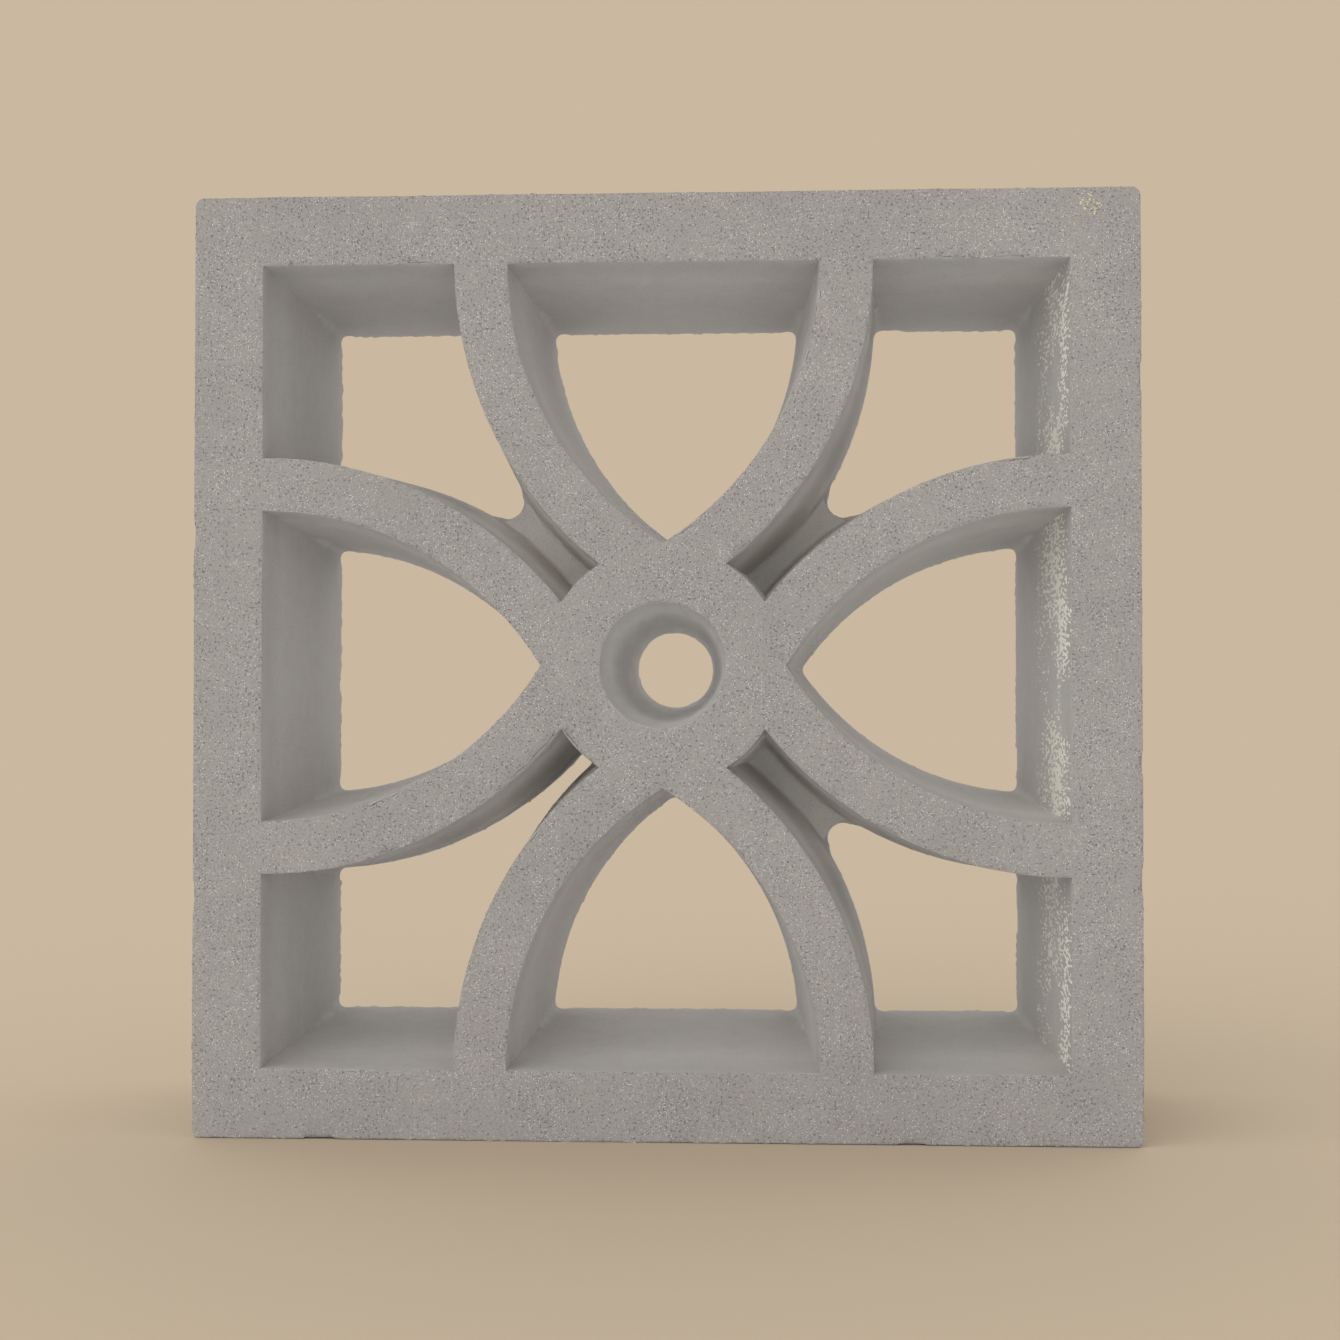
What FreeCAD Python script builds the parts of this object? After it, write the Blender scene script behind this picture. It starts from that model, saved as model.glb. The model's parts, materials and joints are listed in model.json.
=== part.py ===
"""Decorative concrete screen block, cast in one piece.

A square frame holds eight curved ribs, which run in pairs to a round hub with a bore. Between them they leave
four petal openings, one on each side, and four corner openings that narrow towards the hub.

The block stands upright as it is laid in a wall: X runs along the wall, Y through it and Z up, with the
origin in the middle of the bed face. The front face, at -Y, is the one with the thinner walls: every core
that forms an opening tapers towards the back, so that it can be drawn out of the mould at the front.
"""

import FreeCAD, Part
import math
import os
import Sketcher

# Driving dimensions, in millimetres and degrees, each with what it measures.
SIZES = [
    ("block_side", 290.0, "width and height of the square block"),
    ("block_depth", 90.0, "thickness through the wall"),
    ("corner_radius", 3.0, "rounding of the four corners of the outline"),
    ("frame_wall", 21.5, "frame thickness at the front face"),
    ("rib_wall", 16.5, "rib thickness at the front face"),
    ("petal_span", 95.5, "width of a petal opening along the frame, at the front face"),
    ("hub_diameter", 73.5, "hub across its outside, at the front face"),
    ("tip_land", 0.8, "distance from the hub to the tip of a petal opening"),
    ("bore_diameter", 38.5, "hub bore at the front face"),
    ("bore_draft", 4.1, "slope of the hub bore"),
    ("core_draft", 3.5, "slope of every other wall inside the block"),
]

NODE = "screen_block"
SIDES = 4
FULL_TURN = 360

# Formulas over the sheet, measured from the middle of the block.
HALF_SIDE = "sizes.block_side / 2"
HALF_DEPTH = "sizes.block_depth / 2"
WINDOW_HALF = "(sizes.block_side / 2 - sizes.frame_wall)"
PETAL_HALF = "(sizes.petal_span / 2)"
PETAL_RISE = f"({WINDOW_HALF} - sizes.hub_diameter / 2 - sizes.tip_land)"

# A petal's side is an arc that leaves the frame squarely, so its centre lies on the frame's inner edge, as
# far from the springing of the arc as from the tip of the petal.
ARC_CENTRE = f"(({PETAL_RISE} * {PETAL_RISE} - {PETAL_HALF} * {PETAL_HALF}) / (2 * {PETAL_HALF}))"
RIB_MIDDLE_RADIUS = f"({ARC_CENTRE} + {PETAL_HALF} + sizes.rib_wall / 2)"

# A rib runs down until its middle line reaches the block's centre plane, inside the hub, and up until it is
# rooted half a wall deep in the frame.
RIB_SWEEP = f"acos({ARC_CENTRE} / {RIB_MIDDLE_RADIUS})"
RIB_ROOT = f"asin(sizes.frame_wall / 2 / {RIB_MIDDLE_RADIUS})"


def make_sheet(doc):
    """Keep the driving dimensions in a sheet, one named cell each."""
    sheet = doc.addObject("Spreadsheet::Sheet", "sizes")
    for row, (alias, value, meaning) in enumerate(SIZES, start=1):
        sheet.set(f"A{row}", meaning)
        sheet.set(f"B{row}", str(value))
        sheet.setAlias(f"B{row}", alias)
    doc.recompute()
    return sheet


def origin_feature(body, role):
    """One of the body's own base planes or axes."""
    for feature in body.Origin.OriginFeatures:
        if feature.Role == role:
            return feature
    raise ValueError(f"{body.Label} has no {role}")


def make_sketch(body, name, plane, offset):
    """An empty sketch on a base plane of the body, moved along the plane's normal by a formula."""
    sketch = body.newObject("Sketcher::SketchObject", name)
    sketch.AttachmentSupport = [(origin_feature(body, plane), "")]
    sketch.MapMode = "FlatFace"
    sketch.setExpression("AttachmentOffset.Base.z", offset)
    return sketch


def bind(sketch, name, formula, *constraint):
    """Add a named constraint that follows a formula over the sheet."""
    index = sketch.addConstraint(Sketcher.Constraint(*constraint))
    sketch.renameConstraint(index, name)
    sketch.setExpression(f"Constraints.{name}", formula)


def vector(x, y):
    return FreeCAD.Vector(x, y, 0)


def closed_outline(sketch, corners):
    """Straight sides through the corners, joined end to end."""
    count = len(corners)
    for index, corner in enumerate(corners):
        following = corners[(index + 1) % count]
        sketch.addGeometry(Part.LineSegment(vector(*corner), vector(*following)))
    for index in range(count):
        sketch.addConstraint(Sketcher.Constraint("Coincident", index, 2, (index + 1) % count, 1))


def centred_square(sketch, half, formula):
    """A square about the sketch's origin, whose half side follows a formula."""
    closed_outline(sketch, [(-half, -half), (half, -half), (half, half), (-half, half)])
    for side in (0, 2):
        sketch.addConstraint(Sketcher.Constraint("Horizontal", side))
        sketch.addConstraint(Sketcher.Constraint("Vertical", side + 1))
    bind(sketch, "right", formula, "DistanceX", -1, 1, 1, 1, half)
    bind(sketch, "left", formula, "DistanceX", 0, 1, -1, 1, half)
    bind(sketch, "top", formula, "DistanceY", -1, 1, 2, 1, half)
    bind(sketch, "bottom", formula, "DistanceY", 0, 1, -1, 1, half)


def centred_circle(sketch, diameter, formula):
    """A circle about the sketch's origin, whose diameter follows a formula."""
    circle = Part.Circle(vector(0, 0), FreeCAD.Vector(0, 0, 1), diameter / 2)
    sketch.addGeometry(circle)
    sketch.addConstraint(Sketcher.Constraint("Coincident", 0, 3, -1, 1))
    bind(sketch, "diameter", formula, "Diameter", 0, diameter)


def settle(feature, adds):
    """Work the model out, and stop unless the feature added or took away material, as it should."""
    feature.Document.recompute()
    change = feature.Shape.Volume - feature.BaseFeature.Shape.Volume
    if change == 0 or (change > 0) != adds:
        raise RuntimeError(f"{feature.Label} changed the volume by {change:.1f} mm3")


def make_slab(body, sheet):
    """The square slab with its four corners rounded."""
    sketch = make_sketch(body, "outline", "XZ_Plane", "0")
    centred_square(sketch, sheet.block_side / 2, HALF_SIDE)
    slab = body.newObject("PartDesign::Pad", "slab")
    slab.Profile = sketch
    slab.SideType = "Symmetric"
    slab.setExpression("Length", "sizes.block_depth")
    body.Document.recompute()

    rounding = body.newObject("PartDesign::Fillet", "rounded_corners")
    rounding.Base = (slab, edges_along_depth(slab.Shape))
    rounding.setExpression("Radius", "sizes.corner_radius")
    settle(rounding, adds=False)


def edges_along_depth(shape):
    """Names of the straight edges that run through the wall, from the front face to the back."""
    names = []
    for number, edge in enumerate(shape.Edges, start=1):
        run = edge.BoundBox
        if run.YLength > max(run.XLength, run.ZLength):
            names.append(f"Edge{number}")
    return names


def make_window(body, sheet):
    """The drafted square window that leaves the frame."""
    sketch = make_sketch(body, "window_outline", "XZ_Plane", HALF_DEPTH)
    centred_square(sketch, sheet.block_side / 2 - sheet.frame_wall, WINDOW_HALF)
    window = body.newObject("PartDesign::Pocket", "window")
    window.Profile = sketch
    window.setExpression("Length", "sizes.block_depth")
    window.setExpression("TaperAngle", "-sizes.core_draft")
    settle(window, adds=False)


def make_ribs(body, sheet):
    """Eight curved ribs, each a drafted section swept round an axis, two to a side of the frame."""
    sketch = make_sketch(body, "rib_section", "XY_Plane", WINDOW_HALF)
    half_depth = sheet.block_depth / 2
    draft = math.radians(sheet.core_draft)
    inner = -sheet.petal_span / 2
    outer = inner - sheet.rib_wall
    spread = sheet.block_depth * math.tan(draft)
    closed_outline(sketch, [
        (outer, -half_depth),
        (inner, -half_depth),
        (inner + spread, half_depth),
        (outer - spread, half_depth),
    ])
    front, petal_side, back, corner_side = range(4)
    sketch.addConstraint(Sketcher.Constraint("Horizontal", front))
    sketch.addConstraint(Sketcher.Constraint("Horizontal", back))
    bind(sketch, "front_place", HALF_DEPTH, "DistanceY", front, 1, -1, 1, half_depth)
    bind(sketch, "back_place", HALF_DEPTH, "DistanceY", -1, 1, back, 1, half_depth)
    bind(sketch, "petal_half", PETAL_HALF, "DistanceX", front, 2, -1, 1, -inner)
    bind(sketch, "thickness", "sizes.rib_wall", "DistanceX", front, 1, front, 2, sheet.rib_wall)

    # The sides lean apart towards the back. Their slopes are angles at the ends of the back edge.
    lean = math.pi / 2 - draft
    lean_formula = "90 deg - sizes.core_draft * 1 deg"
    bind(sketch, "petal_lean", lean_formula, "Angle", back, 1, petal_side, 2, lean)
    bind(sketch, "corner_lean", lean_formula, "Angle", corner_side, 1, back, 2, lean)

    # The axis of the arc, on the far side of the petal.
    axis_ends = (vector(-inner, -half_depth), vector(-inner, half_depth))
    axis = sketch.addGeometry(Part.LineSegment(*axis_ends), True)
    sketch.addConstraint(Sketcher.Constraint("Vertical", axis))
    sketch.addConstraint(Sketcher.Constraint("Horizontal", axis, 1, front, 1))
    sketch.addConstraint(Sketcher.Constraint("Horizontal", axis, 2, back, 1))
    bind(sketch, "arc_centre", ARC_CENTRE, "DistanceX", -1, 1, axis, 1, -inner)

    rib = body.newObject("PartDesign::Revolution", "rib")
    rib.Profile = sketch
    rib.ReferenceAxis = (sketch, ["Axis0"])
    rib.Type = "TwoAngles"
    rib.Reversed = True
    rib.setExpression("Angle", RIB_SWEEP)
    rib.setExpression("Angle2", RIB_ROOT)
    settle(rib, adds=True)

    ribs = body.newObject("PartDesign::MultiTransform", "ribs")
    twin = body.newObject("PartDesign::Mirrored", "rib_twin")
    twin.MirrorPlane = (origin_feature(body, "YZ_Plane"), [""])
    turns = body.newObject("PartDesign::PolarPattern", "rib_turns")
    turns.Axis = (origin_feature(body, "Y_Axis"), [""])
    turns.Angle = FULL_TURN
    turns.Occurrences = SIDES
    ribs.Originals = [rib]
    ribs.Transformations = [twin, turns]
    body.Tip = ribs
    settle(ribs, adds=True)


def make_hub(body, sheet):
    """The drafted round hub where the ribs meet, and the tapered bore through it."""
    sketch = make_sketch(body, "hub_outline", "XZ_Plane", HALF_DEPTH)
    centred_circle(sketch, sheet.hub_diameter, "sizes.hub_diameter")
    hub = body.newObject("PartDesign::Pad", "hub")
    hub.Profile = sketch
    hub.Reversed = True
    hub.setExpression("Length", "sizes.block_depth")
    hub.setExpression("TaperAngle", "sizes.core_draft")
    settle(hub, adds=True)

    sketch = make_sketch(body, "bore_outline", "XZ_Plane", HALF_DEPTH)
    centred_circle(sketch, sheet.bore_diameter, "sizes.bore_diameter")
    bore = body.newObject("PartDesign::Pocket", "bore")
    bore.Profile = sketch
    bore.setExpression("Length", "sizes.block_depth")
    bore.setExpression("TaperAngle", "-sizes.bore_draft")
    settle(bore, adds=False)


def make_block(doc, sheet):
    """The whole casting, standing on its bed face."""
    body = doc.addObject("PartDesign::Body", NODE)
    body.Label = NODE
    make_slab(body, sheet)
    make_window(body, sheet)
    make_ribs(body, sheet)
    make_hub(body, sheet)
    body.setExpression("Placement.Base.z", HALF_SIDE)
    doc.recompute()
    return body


def check(doc, body):
    """Stop before anything is written if a feature failed or the casting isn't one sound solid."""
    for item in doc.Objects:
        failed = {"Invalid", "Error"} & set(item.State)
        if failed:
            raise RuntimeError(f"{item.Label} failed: {item.State}")
    shape = body.Shape
    if shape.isNull() or not shape.isValid():
        raise RuntimeError(f"{body.Label} has no valid shape")
    if len(shape.Solids) != 1:
        raise RuntimeError(f"{body.Label} is {len(shape.Solids)} solids, not one")


def main():
    doc = FreeCAD.newDocument(NODE)
    sheet = make_sheet(doc)
    body = make_block(doc, sheet)
    check(doc, body)
    os.makedirs("parts", exist_ok=True)
    body.Shape.exportStep(os.path.join("parts", f"{body.Label}.step"))
    box = body.Shape.BoundBox
    print(f"{body.Label}: {box.XLength:.2f} x {box.YLength:.2f} x {box.ZLength:.2f} mm")
    print(f"volume {body.Shape.Volume / 1000:.1f} cm3 in {len(body.Shape.Faces)} faces")


main()
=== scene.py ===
"""Dresses a cast concrete screen block and stands it on a pale studio floor."""
import json
import math
import random

import bmesh
import bpy
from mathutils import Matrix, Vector

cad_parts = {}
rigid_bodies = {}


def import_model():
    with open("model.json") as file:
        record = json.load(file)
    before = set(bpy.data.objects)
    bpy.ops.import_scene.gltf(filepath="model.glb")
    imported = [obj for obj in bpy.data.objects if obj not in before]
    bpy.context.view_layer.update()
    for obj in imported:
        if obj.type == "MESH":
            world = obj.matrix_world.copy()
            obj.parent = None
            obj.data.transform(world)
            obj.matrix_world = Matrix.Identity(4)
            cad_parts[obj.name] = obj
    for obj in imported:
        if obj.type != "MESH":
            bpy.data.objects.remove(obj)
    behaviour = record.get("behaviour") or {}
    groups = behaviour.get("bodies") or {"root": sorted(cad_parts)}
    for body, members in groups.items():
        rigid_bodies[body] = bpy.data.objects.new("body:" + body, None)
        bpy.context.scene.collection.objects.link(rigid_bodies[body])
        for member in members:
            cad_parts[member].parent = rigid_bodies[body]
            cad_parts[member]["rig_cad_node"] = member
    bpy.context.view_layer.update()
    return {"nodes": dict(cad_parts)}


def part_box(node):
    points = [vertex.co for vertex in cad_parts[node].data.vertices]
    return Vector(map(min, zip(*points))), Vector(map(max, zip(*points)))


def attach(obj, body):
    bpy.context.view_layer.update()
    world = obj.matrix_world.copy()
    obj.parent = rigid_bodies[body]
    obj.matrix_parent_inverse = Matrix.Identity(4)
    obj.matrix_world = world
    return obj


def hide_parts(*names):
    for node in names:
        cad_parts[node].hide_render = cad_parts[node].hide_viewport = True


bl_info = {
    "name": "Concrete Screen Block",
    "version": (1, 0, 0),
    "blender": (4, 5, 0),
    "location": "View3D > Sidebar > Screen Block",
    "description": "Dresses a cast concrete screen block and stands it on a studio floor",
    "category": "Object",
}

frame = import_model()
BLOCK_NODE = "screen_block"
BLOCK_LOW, BLOCK_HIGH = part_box(BLOCK_NODE)
BLOCK_MIDDLE = (BLOCK_LOW + BLOCK_HIGH) / 2
HALF_SIDE = BLOCK_MIDDLE.x - BLOCK_LOW.x
HALF_DEPTH = BLOCK_HIGH.y - BLOCK_MIDDLE.y
FRONT = BLOCK_LOW.y

# Making of the skin. Lengths are in metres here and below.
MERGE_DISTANCE = 1e-6
SHADING_ANGLE = math.radians(35)
GRID_DEPTH = 9
CORNER_START = BLOCK_MIDDLE.y + 0.012
CORNER_STEPS = 4
CORNER_SMOOTHING = 0.5

# Wear along the arrises. Weights are for the points on an edge and for each ring of points round it.
NICK_WEIGHTS = (1.0, 0.1)
NICK_CONTRAST = 2.5
CHIP_WEIGHTS = (1.0, 0.6, 0.2)
CHIP_SEED = 7
# A chip reaches a share of the chip size either way, drawn between these two.
CHIP_REACH = (0.15, 0.5)

# A spall along the arris beside the lower left slot.
SPALL_START = Vector((-0.0465, FRONT, 0.1080))
SPALL_END = Vector((-0.0300, FRONT, 0.1225))
SPALL_REACH = 0.0025
SPALL_STEPS = 10

# Cement flash in the back of three slots, which are named by their angles round the hub.
FLASHED_SLOTS = (math.radians(135), math.radians(45), math.radians(-45))
FLASH_ROOT = 0.030
FLASH_WIDTH = 0.020
FLASH_SETBACK = 0.0005
FLASH_HOLLOW = 0.0050
HOLLOW_SIDES = 48

# Zones of the finish, and of the painted fill light that pales the walls of the openings, the bore and the
# narrow slots against their shade. Each pair gives where a zone begins to show and where it shows in full.
FACE_SKIN = 0.003
FACE_SQUARENESS = (0.70, 0.95)
INSIDE_FROM_EDGE = (0.004, 0.010)
WALL_PALES = (0.002, 0.025)
WALL_FADES = (0.095, 0.040)
BORE_EDGE = (0.030, 0.022)
BORE_PALES = (-0.005, 0.030)
BORE_FADES = (0.100, 0.055)
SLOT_ROOT = 0.030
SLOT_END = (0.105, 0.070)
SLOT_SIDES = (0.018, 0.009)
SLOT_FADES = (0.084, 0.066)
SLOT_FACING = (-0.3, -0.7)

# Mottling, grain, pores and sand: sizes of patterns, levels that bring a mark out, and its strength.
OUTSIDE_SAND = 0.7
WALL_SAND = 0.30
LEAST_GRAIN = 0.35
MOTTLE_SHARE = 0.6
MOTTLE_LEVELS = (0.3, 0.7)
MOTTLE_STRENGTH = 0.09
GRAIN_LEVELS = (0.60, 0.25)
GRAIN_STRENGTH = 0.30
PORE_PATCH = 0.012
PORE_GATHERING = 0.15
PORE_LEVELS = (0.68, 0.74)
PORE_STRENGTH = 0.50
SAND_DRIFT = 0.014
SAND_LEVELS = (0.30, 0.75)
SAND_SHARES = (0.05, 0.47)
# Share of a grain's radius at which its soft rim begins.
DOT_CORE = 0.6

# A clump of rusty grains near the top right corner.
RUST_PLACE = Vector((0.1296, FRONT, 0.2845))
RUST_REACH = (0.0045, 0.0010)
RUST_SHARE = 0.8
RUST_SPACING = 0.0007
RUST_GRAIN = 0.0004

# Painted highlight on the right-hand frame walls that look to the left, towards the key light, behind the
# front arris.
HIGHLIGHT_FROM = 0.10
HIGHLIGHT_FACING = (-0.8, -0.95)
HIGHLIGHT_STARTS = (-0.004, 0.012)
HIGHLIGHT_FADES = (0.065, 0.020)
HIGHLIGHT_PATCH = 0.03
HIGHLIGHT_PATCH_LEVELS = (0.32, 0.62)
HIGHLIGHT_CRUMB = 0.0010
HIGHLIGHT_STREAK = (1.0, 0.34, 1.0)
HIGHLIGHT_GATHERING = 0.228
HIGHLIGHT_LEVELS = (0.665, 0.685)
HIGHLIGHT_EDGE = (0.05, 0.2)

# Sheen of the concrete, and the fixed sizes of the stage.
CONCRETE_ROUGHNESS = 0.93
CONCRETE_GLOSS = 0.2
SENSOR_WIDTH = 36.0
FLOOR_SIDES = 96


def from_screen(red, green, blue):
    """Linear colour of a display colour given as three numbers up to 255."""
    def linear(level):
        """Linear share of one level, by the standard curve of displays."""
        share = level / 255
        if share <= 0.04045:
            return share / 12.92
        return ((share + 0.055) / 1.055) ** 2.4
    return linear(red), linear(green), linear(blue)


def length(name, description, default):
    """A length in metres that a user may change."""
    return bpy.props.FloatProperty(
        name=name, description=description, default=default, min=0.0, precision=5, unit="LENGTH"
    )


def place(name, description, default):
    """A point in the block's frame that a user may change."""
    return bpy.props.FloatVectorProperty(
        name=name, description=description, default=default, precision=4, subtype="TRANSLATION",
        unit="LENGTH",
    )


def angle(name, description, degrees):
    """An angle that a user may change."""
    return bpy.props.FloatProperty(
        name=name, description=description, default=math.radians(degrees), subtype="ANGLE"
    )


def colour(name, description, screen):
    """A colour that a user may change, with its default as it shows on a display."""
    return bpy.props.FloatVectorProperty(
        name=name, description=description, default=from_screen(*screen), min=0.0, max=1.0, subtype="COLOR"
    )


class BlockSettings(bpy.types.PropertyGroup):
    """Sizes and colours of the cast block's skin, with its painted fill light and painted highlight."""

    skin_cell: length("Skin cell", "Spacing of the grid that the skin is made on", 0.0009)
    triangle_limit: bpy.props.IntProperty(
        name="Triangle limit", description="Most triangles in the finished skin", default=190000, min=1000
    )
    corner_passes: bpy.props.IntProperty(
        name="Corner rounding", description="Smoothing passes along the inner corners", default=8, min=0
    )
    arris_angle: angle("Arris angle", "Edges that bend more than this count as arrises", 30)
    wave_size: length("Wave size", "Width of the slow waves in the cast faces", 0.035)
    wave_depth: length("Wave depth", "Depth of the slow waves in the cast faces", 0.0003)
    nick_size: length("Nick size", "Width of the nicks along the arrises", 0.0018)
    nick_depth: length("Nick depth", "Depth of the nicks along the arrises", 0.0006)
    chip_count: bpy.props.IntProperty(
        name="Chips", description="Number of places where an arris is chipped", default=45, min=0
    )
    chip_size: length("Chip size", "Length of the longest chip", 0.008)
    chip_depth: length("Chip depth", "Depth of the chips", 0.0017)
    flash_reach: length("Flash reach", "How far the flash in a slot runs from the block's axis", 0.0820)
    flash_depth: length("Flash depth", "Thickness of the flash at the hub", 0.036)
    flash_lip: length("Flash lip", "Thickness of the flash at its outer end", 0.006)
    mottle_size: length("Mottle size", "Width of the slow blotches in the cement", 0.05)
    cloud_size: length("Cloud size", "Width of the small clouds in the cement", 0.006)
    cloud_height: length("Cloud height", "Height of the small clouds", 0.00012)
    grain_size: length("Grain size", "Width of the finest grain", 0.0005)
    grain_height: length("Grain height", "Height of the finest grain", 0.00014)
    pore_size: length("Pore size", "Width of the small open pores", 0.0008)
    pore_depth: length("Pore depth", "Depth of the small open pores", 0.00012)
    sand_spacing: length("Sand spacing", "Width of the cells that hold one pale sand grain each", 0.0005)
    sand_radius: length("Sand radius", "Radius of a pale sand grain", 0.00016)
    cement: colour("Cement", "Mean colour of the struck faces", (160, 154, 149))
    # Walls is partly the smoother drawn finish and partly painted fill light. Deep walls, Bore wall and
    # Slot walls are painted fill light that stands in for light the shade in the openings keeps off.
    wall: colour("Walls", "Colour of the drawn walls of the openings at the front", (176, 172, 167))
    deep_wall_painted_fill: colour("Deep walls", "Colour of the drawn walls half way in", (197, 193, 188))
    bore_wall_painted_fill: colour("Bore wall", "Colour of the bore's wall half way in", (238, 236, 233))
    slot_wall_painted_fill: colour("Slot walls", "Colour of the cement in the narrow slots", (229, 225, 219))
    sand: colour("Sand", "Colour of the pale sand grains", (224, 220, 212))
    pit: colour("Pits", "Colour of the small open pores", (80, 76, 73))
    # Painted highlight: pale crumbs where the key light catches the left-facing walls behind the front
    # arris.
    painted_highlight: colour("Bloom", "Colour of the pale lime bloom beside the front arris", (230, 227, 215))
    rust: colour("Rust", "Colour of the rusty grains near the top right corner", (208, 192, 148))


class StageSettings(bpy.types.PropertyGroup):
    """Camera, lights and floor."""

    camera_place: place("Camera place", "Where the camera stands", (0.0310, -0.6367, 0.1335))
    camera_aim: place("Camera aim", "Point at the middle of the picture", (0.0023, -0.045, 0.1436))
    lens: bpy.props.FloatProperty(
        name="Lens", description="Focal length on a 36 mm wide sensor", default=52.25, unit="CAMERA"
    )
    key_from: bpy.props.FloatVectorProperty(
        name="Key light from", description="Direction from the block to the key light",
        default=(-0.50, -0.62, 0.60), subtype="DIRECTION",
    )
    key_light: bpy.props.FloatProperty(
        name="Key light", description="Strength of the soft key light", default=1.0, min=0.0
    )
    key_spread: angle("Key spread", "Angle that the key light fills, seen from the block", 70)
    front_fill: bpy.props.FloatProperty(
        name="Front fill", description="Strength of the even light from the camera's side",
        default=0.72, min=0.0,
    )
    back_fill: bpy.props.FloatProperty(
        name="Back fill", description="Strength of the even light from behind the block",
        default=1.35, min=0.0,
    )
    floor: colour("Floor", "Colour of the floor and of the backdrop that it runs into", (202, 184, 160))
    floor_bounce: bpy.props.FloatProperty(
        name="Floor bounce", description="Share of its light that the floor throws back at the block",
        default=0.9, min=0.0, max=1.0,
    )
    floor_size: length("Floor size", "Diameter of the floor", 12.0)


class Wiring:
    """Adds nodes to a node tree and joins them as they are added."""

    def __init__(self, tree):
        self.tree = tree
        tree.nodes.clear()

    def feed(self, socket, value):
        """Join a socket to another node's output, or set it to a fixed value."""
        if isinstance(value, bpy.types.NodeSocket):
            self.tree.links.new(value, socket)
        else:
            socket.default_value = value

    def add(self, kind, inputs=None, **settings):
        """Add one node with its settings and inputs."""
        node = self.tree.nodes.new(kind)
        for name, value in settings.items():
            setattr(node, name, value)
        for socket, value in (inputs or {}).items():
            self.feed(node.inputs[socket], value)
        return node

    def math(self, operation, first, second=0.0):
        """Result of one sum."""
        return self.add("ShaderNodeMath", {0: first, 1: second}, operation=operation).outputs[0]

    def product(self, first, *others):
        """Result of multiplying all the values."""
        for other in others:
            first = self.math("MULTIPLY", first, other)
        return first

    def distance(self, value, middle):
        """How far a value lies from a middle one, either way."""
        return self.math("ABSOLUTE", self.math("SUBTRACT", value, middle))

    def vector(self, operation, output, first, second=(0.0, 0.0, 0.0)):
        """One output of a sum of vectors."""
        return self.add("ShaderNodeVectorMath", {0: first, 1: second}, operation=operation).outputs[output]

    def parts(self, vector):
        """The X, Y and Z of a vector."""
        return self.add("ShaderNodeSeparateXYZ", {"Vector": vector}).outputs

    def noise(self, vector, size, detail=2.0, roughness=0.5):
        """Soft random value with blotches about this size across."""
        inputs = {"Vector": vector, "Scale": 1 / size, "Detail": detail, "Roughness": roughness}
        return self.add("ShaderNodeTexNoise", inputs).outputs["Fac"]

    def scatter(self, vector, spacing, radius, share):
        """Round dots of one radius, one to a cell at most, on this share of the cells."""
        cells = self.add("ShaderNodeTexVoronoi", {"Vector": vector, "Scale": 1 / spacing})
        reach = radius / spacing
        dot = self.ramp(cells.outputs["Distance"], (reach, reach * DOT_CORE))
        lot = self.add("ShaderNodeSeparateColor", {"Color": cells.outputs["Color"]}).outputs["Red"]
        return self.product(dot, self.math("LESS_THAN", lot, share))

    def ramp(self, value, levels, results=(0.0, 1.0)):
        """Run smoothly from the first result to the second while the value goes between two levels."""
        low, high = levels
        bottom, top = results
        inputs = {"Value": value, "From Min": low, "From Max": high, "To Min": bottom, "To Max": top}
        return self.add("ShaderNodeMapRange", inputs, interpolation_type="SMOOTHSTEP").outputs["Result"]

    def blend(self, share, first, second):
        """Colour that goes from first to second while share goes from 0 to 1."""
        node = self.add("ShaderNodeMix", data_type="RGBA")
        colours = [socket for socket in node.inputs if socket.type == "RGBA"]
        self.feed(node.inputs["Factor"], share)
        self.feed(colours[0], first)
        self.feed(colours[1], second)
        return next(socket for socket in node.outputs if socket.type == "RGBA")


def with_alpha(rgb, level=1.0):
    """Colour for a node socket, made lighter or darker by a factor."""
    return *(min(1.0, channel * level) for channel in rgb), 1.0


class SkinPlace:
    """Where a point of the block's skin lies, and the zones of the finish that it belongs to."""

    def __init__(self, wiring):
        coordinates = wiring.add("ShaderNodeTexCoord").outputs
        self.spot = coordinates["Object"]
        self.point = wiring.parts(self.spot)
        self.facing = wiring.parts(coordinates["Normal"])
        self.depth = wiring.math("SUBTRACT", self.point["Y"], FRONT)
        self.aside = wiring.math("ABSOLUTE", self.point["X"])
        self.above = wiring.distance(self.point["Z"], BLOCK_MIDDLE.z)
        from_axis = wiring.add("ShaderNodeCombineXYZ", {"X": self.aside, "Y": self.above}).outputs["Vector"]
        self.away = wiring.vector("LENGTH", "Value", from_axis)

        # Inside is all that lies well in from the frame's outer faces.
        outermost = wiring.math("MAXIMUM", self.aside, self.above)
        self.inside = wiring.ramp(outermost, [HALF_SIDE - edge for edge in INSIDE_FROM_EDGE])

        # Struck faces look to the front and back, and every other surface was drawn off the mould.
        from_middle = wiring.distance(self.point["Y"], BLOCK_MIDDLE.y)
        near_face = wiring.math("GREATER_THAN", from_middle, HALF_DEPTH - FACE_SKIN)
        squareness = wiring.math("ABSOLUTE", self.facing["Y"])
        self.struck = wiring.product(near_face, wiring.ramp(squareness, FACE_SQUARENESS))
        drawn = wiring.ramp(self.inside, (0.0, 1.0), (OUTSIDE_SAND, WALL_SAND))
        self.sandy = wiring.math("MAXIMUM", self.struck, drawn)
        self.grained = wiring.ramp(self.sandy, (0.0, 1.0), (LEAST_GRAIN, 1.0))


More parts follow.
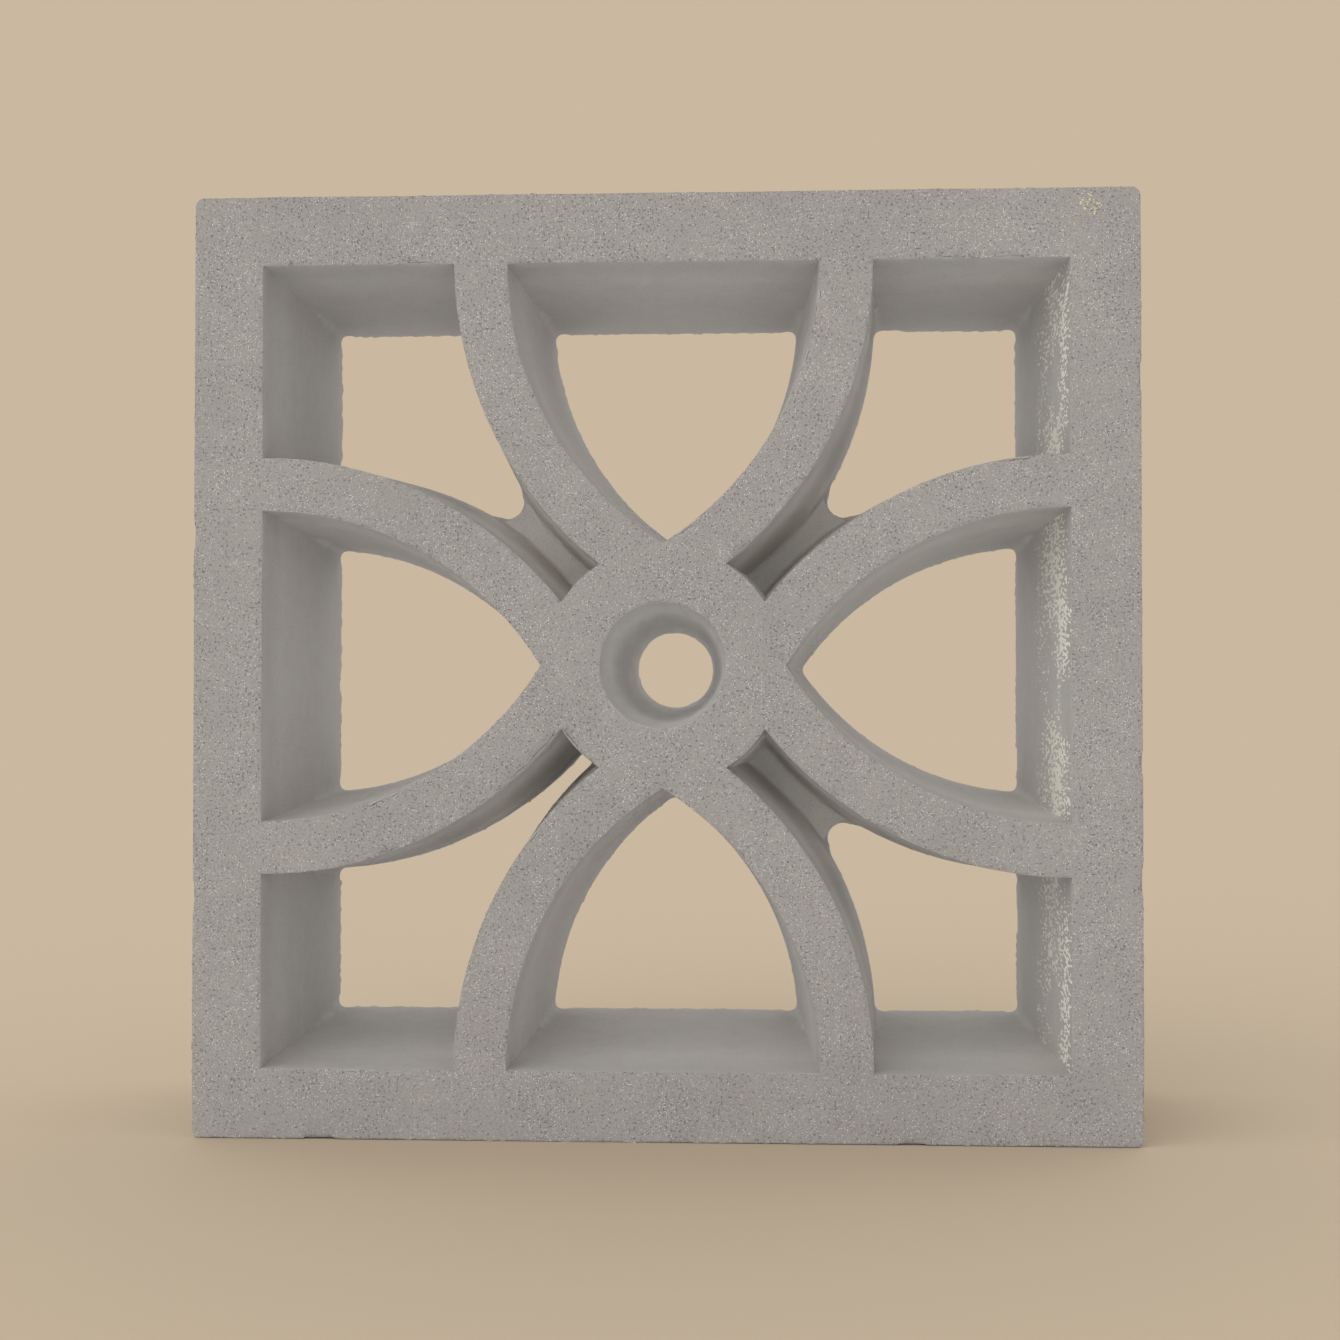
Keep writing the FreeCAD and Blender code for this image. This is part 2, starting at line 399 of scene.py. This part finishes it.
def walls_with_painted_fill(wiring, skin_place, settings):
    """Drawn walls painted paler than the face, partly for their smoother drawn finish and mostly as painted
    fill light against the shade in the openings. The painted fill is strongest half way in, and most of all
    in the bore and the narrow slots.
    """
    depth, away = skin_place.depth, skin_place.away
    begun = wiring.ramp(depth, WALL_PALES)
    deep = wiring.product(begun, wiring.ramp(depth, WALL_FADES))
    wall = wiring.blend(deep, with_alpha(settings.wall), with_alpha(settings.deep_wall_painted_fill))

    deep_bore = wiring.product(wiring.ramp(depth, BORE_PALES), wiring.ramp(depth, BORE_FADES))
    bore = wiring.blend(deep_bore, with_alpha(settings.wall), with_alpha(settings.bore_wall_painted_fill))
    wall = wiring.blend(wiring.ramp(away, BORE_EDGE), wall, bore)

    # The slots lie on the diagonals and get the palest painted fill light. Towards the back, only the front
    # of the flash keeps that painted fill.
    off_diagonal = wiring.distance(skin_place.aside, skin_place.above)
    flash_front = wiring.ramp(skin_place.facing["Y"], SLOT_FACING)
    in_slot = wiring.product(
        begun,
        wiring.ramp(off_diagonal, SLOT_SIDES),
        wiring.ramp(away, SLOT_END),
        wiring.math("GREATER_THAN", away, SLOT_ROOT),
        wiring.math("MAXIMUM", wiring.ramp(depth, SLOT_FADES), flash_front),
    )
    wall = wiring.blend(in_slot, wall, with_alpha(settings.slot_wall_painted_fill))
    return wiring.blend(skin_place.inside, with_alpha(settings.cement), wall)


def painted_highlight_share(wiring, skin_place):
    """Share of painted highlight: crumbs drawn out behind the front arris, on walls that look to the left,
    towards the key light.
    """
    spot, depth = skin_place.spot, skin_place.depth
    streaked = wiring.vector("MULTIPLY", "Vector", spot, HIGHLIGHT_STREAK)
    crumbs = wiring.noise(streaked, HIGHLIGHT_CRUMB, detail=1.0)
    patches = wiring.ramp(wiring.noise(spot, HIGHLIGHT_PATCH), HIGHLIGHT_PATCH_LEVELS)
    band = wiring.product(wiring.ramp(depth, HIGHLIGHT_FADES), wiring.ramp(depth, HIGHLIGHT_STARTS), patches)
    gathered = wiring.math("ADD", crumbs, wiring.product(band, HIGHLIGHT_GATHERING))
    return wiring.product(
        wiring.ramp(gathered, HIGHLIGHT_LEVELS),
        wiring.ramp(band, HIGHLIGHT_EDGE),
        wiring.ramp(skin_place.facing["X"], HIGHLIGHT_FACING),
        wiring.math("GREATER_THAN", skin_place.point["X"], HIGHLIGHT_FROM),
        skin_place.inside,
    )


def make_concrete(settings):
    """Sandy cast concrete: grained struck faces, smoother drawn walls with painted fill light against the
    shade in the openings, pale sand, pores, rust and a painted highlight.
    """
    material = bpy.data.materials.new("cast_concrete")
    material.use_nodes = True
    wiring = Wiring(material.node_tree)
    skin_place = SkinPlace(wiring)
    spot = skin_place.spot
    pit = with_alpha(settings.pit)

    # Paste with slow mottling and small clouds.
    mottle = wiring.noise(spot, settings.mottle_size, detail=3.0)
    cloud = wiring.noise(spot, settings.cloud_size)
    slow = wiring.math("ADD", wiring.product(mottle, MOTTLE_SHARE), wiring.product(cloud, 1 - MOTTLE_SHARE))
    # The drawn walls carry painted fill light that pales them against the shade in the openings.
    wall = walls_with_painted_fill(wiring, skin_place, settings)
    skin = wiring.blend(skin_place.struck, wall, with_alpha(settings.cement))
    skin = wiring.blend(wiring.ramp(slow, MOTTLE_LEVELS, (0.0, MOTTLE_STRENGTH)), skin, pit)

    # Fine grain, pores in patches and pale sand grains in drifts.
    grain = wiring.noise(spot, settings.grain_size, roughness=0.7)
    dark = wiring.product(wiring.ramp(grain, GRAIN_LEVELS), skin_place.grained)
    lumps = wiring.noise(spot, settings.pore_size, roughness=0.6)
    patches = wiring.noise(spot, PORE_PATCH)
    lumps = wiring.math("ADD", lumps, wiring.product(patches, PORE_GATHERING))
    pore = wiring.product(wiring.ramp(lumps, PORE_LEVELS), skin_place.sandy)
    drifts = wiring.ramp(wiring.noise(spot, SAND_DRIFT, detail=3.0), SAND_LEVELS, SAND_SHARES)
    sand = wiring.scatter(spot, settings.sand_spacing, settings.sand_radius, drifts)
    skin = wiring.blend(wiring.product(dark, GRAIN_STRENGTH), skin, pit)
    skin = wiring.blend(wiring.product(pore, PORE_STRENGTH), skin, pit)
    skin = wiring.blend(wiring.product(sand, skin_place.sandy), skin, with_alpha(settings.sand))

    # Rusty grains in one clump, then the painted highlight.
    from_clump = wiring.vector("DISTANCE", "Value", spot, RUST_PLACE)
    rust_share = wiring.ramp(from_clump, RUST_REACH, (0.0, RUST_SHARE))
    rusty = wiring.scatter(spot, RUST_SPACING, RUST_GRAIN, rust_share)
    skin = wiring.blend(rusty, skin, with_alpha(settings.rust))
    skin = wiring.blend(painted_highlight_share(wiring, skin_place), skin, with_alpha(settings.painted_highlight))

    # Relief: fine grain and small clouds stand up, and pores are sunk.
    height = wiring.product(grain, skin_place.grained, settings.grain_height)
    height = wiring.math("SUBTRACT", height, wiring.product(pore, settings.pore_depth))
    height = wiring.math("ADD", height, wiring.product(cloud, settings.cloud_height))
    relief = wiring.add("ShaderNodeBump", {"Height": height, "Distance": 1.0, "Strength": 1.0})

    shader = wiring.add("ShaderNodeBsdfPrincipled", {
        "Base Color": skin, "Roughness": CONCRETE_ROUGHNESS, "Specular IOR Level": CONCRETE_GLOSS,
        "Normal": relief.outputs["Normal"],
    })
    wiring.add("ShaderNodeOutputMaterial", {"Surface": shader.outputs["BSDF"]})
    return material


def pick(piece):
    """Select one piece alone and make it active."""
    bpy.ops.object.select_all(action="DESELECT")
    piece.select_set(True)
    bpy.context.view_layer.objects.active = piece


def finish_with(piece, kind, **settings):
    """Put one modifier on the active piece and apply it."""
    bpy.ops.object.modifier_add(type=kind)
    modifier = piece.modifiers[-1]
    for name, value in settings.items():
        setattr(modifier, name, value)
    bpy.ops.object.modifier_apply(modifier=modifier.name)


def combine(piece, other, operation):
    """Add another shape to a piece or cut it out, and do away with the other shape."""
    pick(piece)
    finish_with(piece, "BOOLEAN", operation=operation, object=other, solver="EXACT")
    bpy.data.objects.remove(other)


def copy_of_node(node_name, piece_name):
    """Loose copy of a CAD node with its triangles merged into one closed skin."""
    pick(frame["nodes"][node_name])
    bpy.ops.object.duplicate()
    piece = bpy.context.view_layer.objects.active
    piece.name = piece_name
    piece.data.name = piece_name
    del piece["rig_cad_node"]
    bpy.ops.object.mode_set(mode="EDIT")
    bpy.ops.mesh.select_all(action="SELECT")
    bpy.ops.mesh.remove_doubles(threshold=MERGE_DISTANCE)
    bpy.ops.object.mode_set(mode="OBJECT")
    return piece


def make_flash(slot_angle, settings):
    """Wedge of cement flash in the back of the slot at this angle, hollow at its outer end."""
    run = settings.flash_reach - FLASH_ROOT
    half_way = FLASH_ROOT + run / 2
    along = Vector((math.cos(slot_angle), 0.0, math.sin(slot_angle)))
    middle = Vector((0.0, BLOCK_HIGH.y - settings.flash_depth / 2 - FLASH_SETBACK, BLOCK_MIDDLE.z))
    bpy.ops.mesh.primitive_cube_add(
        size=1.0, location=middle + along * half_way, rotation=(0.0, -slot_angle, 0.0),
        scale=(run, settings.flash_depth, FLASH_WIDTH),
    )
    flash = bpy.context.view_layer.objects.active
    bpy.ops.object.transform_apply(location=True, rotation=True, scale=True)

    # The front of the outer end is pushed back, which leaves a thin lip there.
    bpy.ops.object.mode_set(mode="EDIT")
    bpy.ops.mesh.select_mode(type="VERT")
    bpy.ops.mesh.select_all(action="DESELECT")
    wedge = bmesh.from_edit_mesh(flash.data)
    for vertex in wedge.verts:
        outer = (vertex.co - middle).dot(along) > half_way
        vertex.select_set(outer and vertex.co.y < middle.y)
    bmesh.update_edit_mesh(flash.data)
    bpy.ops.transform.translate(value=(0.0, settings.flash_depth - settings.flash_lip, 0.0))
    bpy.ops.object.mode_set(mode="OBJECT")

    bpy.ops.mesh.primitive_cylinder_add(
        vertices=HOLLOW_SIDES, radius=FLASH_HOLLOW, depth=settings.flash_depth * 2,
        location=middle + along * settings.flash_reach, rotation=(math.pi / 2, 0.0, 0.0),
    )
    combine(flash, bpy.context.view_layer.objects.active, "DIFFERENCE")
    return flash


def bent_edges(piece, least):
    """Numbers of the edges that bend more than this outwards, on arrises, and inwards, in corners."""
    skin = bmesh.new()
    skin.from_mesh(piece.data)
    arrises, corners = [], []
    for edge in skin.edges:
        bend = edge.calc_face_angle_signed(0.0)
        if bend > least:
            arrises.append(edge.index)
        elif bend < -least:
            corners.append(edge.index)
    skin.free()
    return arrises, corners


def select_edges(piece, numbers, rings, start=-math.inf):
    """In edit mode, select those of the edges that lie behind a start, and rings of points round them."""
    bpy.ops.mesh.select_all(action="DESELECT")
    skin = bmesh.from_edit_mesh(piece.data)
    skin.edges.ensure_lookup_table()
    for number in numbers:
        if skin.edges[number].verts[0].co.y > start:
            skin.edges[number].select_set(True)
    bmesh.update_edit_mesh(piece.data)
    for _ in range(rings):
        bpy.ops.mesh.select_more()


def round_corners(piece, corners, passes):
    """In edit mode, round the inner corners near the back, in steps that get wider towards it."""
    step_depth = (BLOCK_HIGH.y - CORNER_START) / CORNER_STEPS
    for step in range(CORNER_STEPS):
        select_edges(piece, corners, step + 1, CORNER_START + step_depth * step)
        bpy.ops.mesh.vertices_smooth(factor=CORNER_SMOOTHING, repeat=passes)


def chipped_edges(piece, arrises, settings):
    """In edit mode, find the numbers of the arris edges that lie in a chip or in the spall."""
    skin = bmesh.from_edit_mesh(piece.data)
    skin.edges.ensure_lookup_table()
    spots = [skin.edges[number].verts[0].co.copy() for number in arrises]
    lots = random.Random(CHIP_SEED)
    chips = []
    for spot in lots.sample(spots, settings.chip_count):
        chips.append((spot, settings.chip_size * lots.uniform(*CHIP_REACH)))
    for step in range(SPALL_STEPS + 1):
        chips.append((SPALL_START.lerp(SPALL_END, step / SPALL_STEPS), SPALL_REACH))
    chipped = []
    for number, spot in zip(arrises, spots):
        if any((spot - middle).length < reach for middle, reach in chips):
            chipped.append(number)
    return chipped


def group_edges(piece, numbers, name, weights):
    """In edit mode, gather the points on and beside some edges, with one weight for each ring of points."""
    piece.vertex_groups.new(name=name)
    for rings, weight in reversed(list(enumerate(weights))):
        select_edges(piece, numbers, rings)
        bpy.context.scene.tool_settings.vertex_group_weight = weight
        bpy.ops.object.vertex_group_assign()


def cloud_texture(name, size, detail, contrast=1.0):
    """Soft noise with lumps about this size across."""
    texture = bpy.data.textures.new(name, "CLOUDS")
    texture.noise_scale = size
    texture.noise_depth = detail
    texture.contrast = contrast
    return texture


def wear(piece, texture, depth, group=""):
    """Press noise into a piece's skin, all over or in one group of points."""
    finish_with(
        piece, "DISPLACE", texture=texture, texture_coords="LOCAL", strength=-depth, mid_level=0.0,
        vertex_group=group,
    )


class SCREENBLOCK_OT_cast_block(bpy.types.Operator):
    """Cast the block's skin over the CAD solid, with worn arrises and a sandy concrete finish"""

    bl_idname = "screen_block.cast_block"
    bl_label = "Cast the Block"

    def execute(self, context):
        settings = context.scene.screen_block
        block = copy_of_node(BLOCK_NODE, "cast_block")
        for slot_angle in FLASHED_SLOTS:
            combine(block, make_flash(slot_angle, settings), "UNION")
        share_of_grid = max(block.dimensions) / (settings.skin_cell * 2 ** GRID_DEPTH)
        finish_with(block, "REMESH", mode="SHARP", octree_depth=GRID_DEPTH, scale=share_of_grid)

        arrises, corners = bent_edges(block, settings.arris_angle)
        bpy.ops.object.mode_set(mode="EDIT")
        bpy.ops.mesh.select_mode(type="EDGE")
        round_corners(block, corners, settings.corner_passes)
        group_edges(block, arrises, "arris", NICK_WEIGHTS)
        group_edges(block, chipped_edges(block, arrises, settings), "chips", CHIP_WEIGHTS)
        bpy.ops.object.mode_set(mode="OBJECT")
        waves = cloud_texture("casting_waves", settings.wave_size, detail=1)
        nicks = cloud_texture("arris_nicks", settings.nick_size, detail=2, contrast=NICK_CONTRAST)
        chips = cloud_texture("arris_chips", settings.chip_size / 2, detail=1)
        wear(block, waves, settings.wave_depth)
        wear(block, nicks, settings.nick_depth, "arris")
        wear(block, chips, settings.chip_depth, "chips")

        triangles = sum(len(face.vertices) - 2 for face in block.data.polygons)
        if not triangles:
            raise RuntimeError("the block's skin came out empty")
        finish_with(block, "DECIMATE", ratio=min(1.0, settings.triangle_limit / triangles))
        bpy.ops.object.shade_smooth_by_angle(angle=SHADING_ANGLE)
        block.data.materials.clear()
        block.data.materials.append(make_concrete(settings))
        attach(block, "root")
        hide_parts(BLOCK_NODE)
        return {"FINISHED"}


def seen_share(wiring):
    """1 for rays that show the background in the picture, in gloss or through glass."""
    path = wiring.add("ShaderNodeLightPath").outputs
    seen = wiring.math("MAXIMUM", path["Is Camera Ray"], path["Is Glossy Ray"])
    return wiring.math("MAXIMUM", seen, path["Is Transmission Ray"])


def floor_level(stage):
    """Light on the open floor, where a level of 1 shows a colour as it is written."""
    key = Vector(stage.key_from).normalized()
    return stage.key_light * key.z / math.pi + (stage.front_fill + stage.back_fill) / 2


def make_floor(stage):
    """Round pale floor under the block."""
    bpy.ops.mesh.primitive_circle_add(
        vertices=FLOOR_SIDES, radius=stage.floor_size / 2, fill_type="NGON",
        location=(0.0, 0.0, BLOCK_LOW.z),
    )
    floor = bpy.context.view_layer.objects.active
    floor.name = "studio_floor"
    material = bpy.data.materials.new("pale_floor")
    material.use_nodes = True
    wiring = Wiring(material.node_tree)
    bounce = (stage.floor_bounce,) * 3
    shown = with_alpha(stage.floor, 1 / floor_level(stage))
    tint = wiring.blend(seen_share(wiring), with_alpha(bounce), shown)
    shader = wiring.add("ShaderNodeBsdfDiffuse", {"Color": tint})
    wiring.add("ShaderNodeOutputMaterial", {"Surface": shader.outputs["BSDF"]})
    floor.data.materials.append(material)


def make_world(stage):
    """Even light, stronger from behind, and a backdrop in the colour of the open floor."""
    world = bpy.data.worlds.new("studio")
    world.use_nodes = True
    wiring = Wiring(world.node_tree)
    heading = wiring.add("ShaderNodeTexCoord").outputs["Generated"]
    level = wiring.ramp(wiring.parts(heading)["Y"], (-1.0, 1.0), (stage.front_fill, stage.back_fill))
    light = wiring.add("ShaderNodeBackground", {"Color": with_alpha((1.0, 1.0, 1.0)), "Strength": level})
    shown = wiring.add("ShaderNodeBackground", {"Color": with_alpha(stage.floor), "Strength": 1.0})
    mix = wiring.add("ShaderNodeMixShader", {
        0: seen_share(wiring), 1: light.outputs["Background"], 2: shown.outputs["Background"],
    })
    wiring.add("ShaderNodeOutputWorld", {"Surface": mix.outputs["Shader"]})
    bpy.context.scene.world = world


def make_key(stage):
    """Broad soft key light from the upper left."""
    bpy.ops.object.light_add(type="SUN", location=Vector(stage.key_from) + BLOCK_MIDDLE)
    key = bpy.context.view_layer.objects.active
    key.name = "key_light"
    key.rotation_euler = Vector(stage.key_from).to_track_quat("Z", "Y").to_euler()
    key.data.energy = stage.key_light
    key.data.angle = stage.key_spread


def make_camera(stage):
    """Camera in front of the block, a little to the right of its middle."""
    bpy.ops.object.camera_add(location=stage.camera_place)
    camera = bpy.context.view_layer.objects.active
    camera.name = "front_camera"
    line_of_sight = Vector(stage.camera_aim) - Vector(stage.camera_place)
    camera.rotation_euler = line_of_sight.to_track_quat("-Z", "Y").to_euler()
    camera.data.lens = stage.lens
    camera.data.sensor_width = SENSOR_WIDTH
    bpy.context.scene.camera = camera


class SCREENBLOCK_OT_set_stage(bpy.types.Operator):
    """Lay the floor and set up the backdrop, the lights and the camera"""

    bl_idname = "screen_block.set_stage"
    bl_label = "Set the Stage"

    def execute(self, context):
        stage = context.scene.screen_block_stage
        make_floor(stage)
        make_world(stage)
        make_key(stage)
        make_camera(stage)
        context.scene.view_settings.view_transform = "Standard"
        if context.scene.camera is None:
            raise RuntimeError("the stage has no camera")
        return {"FINISHED"}


class SCREENBLOCK_PT_sidebar(bpy.types.Panel):
    """Sizes, colours and steps of the screen block"""

    bl_idname = "SCREENBLOCK_PT_sidebar"
    bl_label = "Screen Block"
    bl_space_type = "VIEW_3D"
    bl_region_type = "UI"
    bl_category = "Screen Block"

    def draw(self, context):
        for settings in (context.scene.screen_block, context.scene.screen_block_stage):
            box = self.layout.box()
            for name in settings.__annotations__:
                box.prop(settings, name)
        for operator in OPERATORS:
            self.layout.operator(operator.bl_idname)


OPERATORS = (SCREENBLOCK_OT_cast_block, SCREENBLOCK_OT_set_stage)
CLASSES = (BlockSettings, StageSettings, *OPERATORS, SCREENBLOCK_PT_sidebar)


def register():
    """Register the classes and hang the settings on the scene."""
    for item in CLASSES:
        bpy.utils.register_class(item)
    bpy.types.Scene.screen_block = bpy.props.PointerProperty(type=BlockSettings)
    bpy.types.Scene.screen_block_stage = bpy.props.PointerProperty(type=StageSettings)


def unregister():
    """Take the settings off the scene and unregister the classes."""
    del bpy.types.Scene.screen_block_stage
    del bpy.types.Scene.screen_block
    for item in reversed(CLASSES):
        bpy.utils.unregister_class(item)


def main():
    """Make the block and its stage."""
    register()
    bpy.ops.screen_block.cast_block()
    bpy.ops.screen_block.set_stage()


if __name__ == "__main__":
    main()
